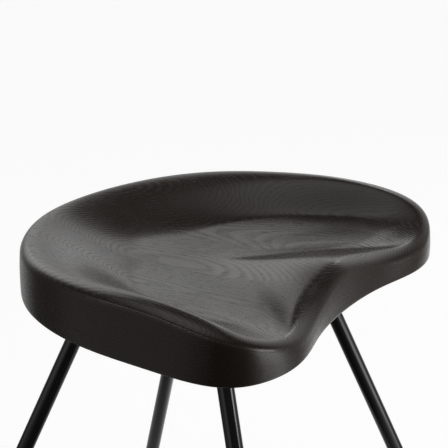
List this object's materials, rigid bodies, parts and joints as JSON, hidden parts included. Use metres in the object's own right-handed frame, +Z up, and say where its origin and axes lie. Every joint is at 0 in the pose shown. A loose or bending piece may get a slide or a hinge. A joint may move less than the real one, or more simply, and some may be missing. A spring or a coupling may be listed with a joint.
{
  "type": "wooden stool",
  "caption": "Low wooden stool with a carved saddle seat, dark stained, on a welded base of slim raked round steel bar legs.",
  "frame": {"origin": "on the floor under the middle of the seat's depth and width", "axes": "+Z up, front edge of the seat with its notch facing -Y, a sitter's left is +X"},
  "size_m": [0.414, 0.4435, 0.4538],
  "materials": {
    "stained_wood": "satin near-black stain with open grain",
    "coated_steel": "satin black powder coat",
    "screw_steel": "zinc plated",
    "bush_brass": "turned",
    "glide_plastic": "matt black nylon"
  },
  "bodies": {
    "root": {"seat": "stained_wood", "frame_bar_front": "coated_steel", "frame_bar_rear": "coated_steel", "frame_bar_left": "coated_steel", "frame_bar_right": "coated_steel", "leg_front_left": "coated_steel", "leg_front_right": "coated_steel", "leg_rear_left": "coated_steel", "leg_rear_right": "coated_steel", "leg_welds": "coated_steel", "glide_front_left": "glide_plastic", "glide_front_right": "glide_plastic", "glide_rear_left": "glide_plastic", "glide_rear_right": "glide_plastic", "frame_screws": "screw_steel", "frame_washers": "screw_steel", "threaded_bushes": "bush_brass"}
  },
  "joints": []
}
